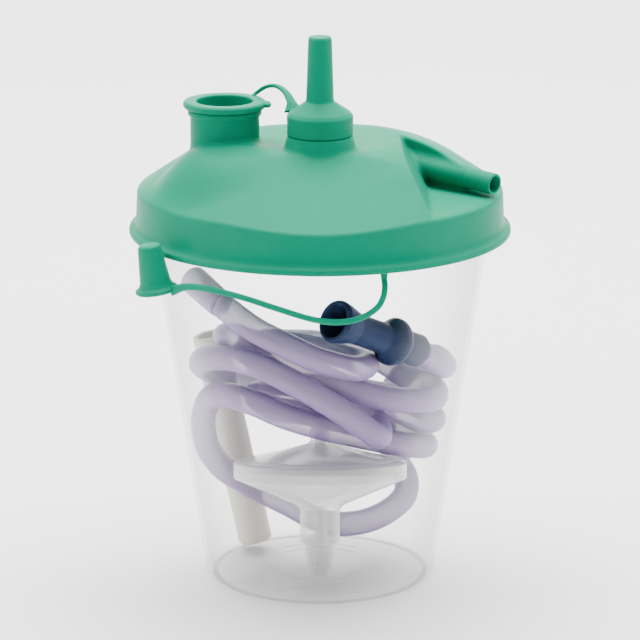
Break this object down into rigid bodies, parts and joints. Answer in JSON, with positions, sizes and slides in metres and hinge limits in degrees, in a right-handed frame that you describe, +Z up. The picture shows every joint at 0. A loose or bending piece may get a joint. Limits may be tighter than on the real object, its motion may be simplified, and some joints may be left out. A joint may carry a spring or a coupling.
{
  "type": "suction canister",
  "caption": "Tapered clear suction canister with a press-on lid, capped ports, a hanging port plug, a float valve, and its coiled tubing kit with a filter packed inside.",
  "frame": {"origin": "centre of the cup's base on the surface it stands on", "axes": "+Z up, +X towards the side with the patient nozzle, -Y towards the front where the plug's strap hangs"},
  "size_m": [0.142, 0.1439, 0.209],
  "materials": {
    "clear_cup": "clear, slightly milky",
    "lid_green": "satin moulded",
    "clear_tubing": "soft, translucent",
    "navy_soft": "satin",
    "blue_cuff": "satin",
    "cream_hose": "matt",
    "clear_filter": "clear",
    "filter_paper": "matt",
    "float_white": "matt moulded",
    "seal_grey": "matt"
  },
  "bodies": {
    "canister": {"canister_cup": "clear_cup", "filter_top_shell": "clear_filter", "filter_bottom_shell": "clear_filter", "filter_membrane": "filter_paper", "patient_tubing": "clear_tubing", "tubing_cuff": "blue_cuff", "tubing_end_cuff": "clear_tubing", "funnel_connector": "navy_soft", "pump_hose": "cream_hose"},
    "lid": {"lid_shell": "lid_green", "float_cage": "float_white"},
    "float": {"float_body": "float_white", "float_seal": "seal_grey"},
    "pour_plug": {"pour_plug": "lid_green", "cap_strap": "lid_green"},
    "vacuum_cap": {"vacuum_cap": "lid_green"},
    "tether": {"plug_tether": "lid_green", "nozzle_plug": "lid_green"}
  },
  "joints": [
    {"name": "lid_lift", "type": "slide", "parent": "canister", "child": "lid", "axis": [0, 0, 1], "range_m": [0, 0.06]},
    {"name": "float_rise", "type": "slide", "parent": "lid", "child": "float", "axis": [0, 0, 1], "range_m": [0, 0.0105]},
    {"name": "pour_plug_lift", "type": "slide", "parent": "lid", "child": "pour_plug", "axis": [0, 0, 1], "range_m": [0, 0.03]},
    {"name": "vacuum_cap_lift", "type": "slide", "parent": "pour_plug", "child": "vacuum_cap", "axis": [0, 0, 1], "range_m": [0, 0.045]},
    {"name": "tether_swing", "type": "hinge", "parent": "lid", "child": "tether", "pos_m": [0.02285, -0.0641, 0.134], "axis": [0, 0, 1], "range_deg": [0, 60]}
  ]
}
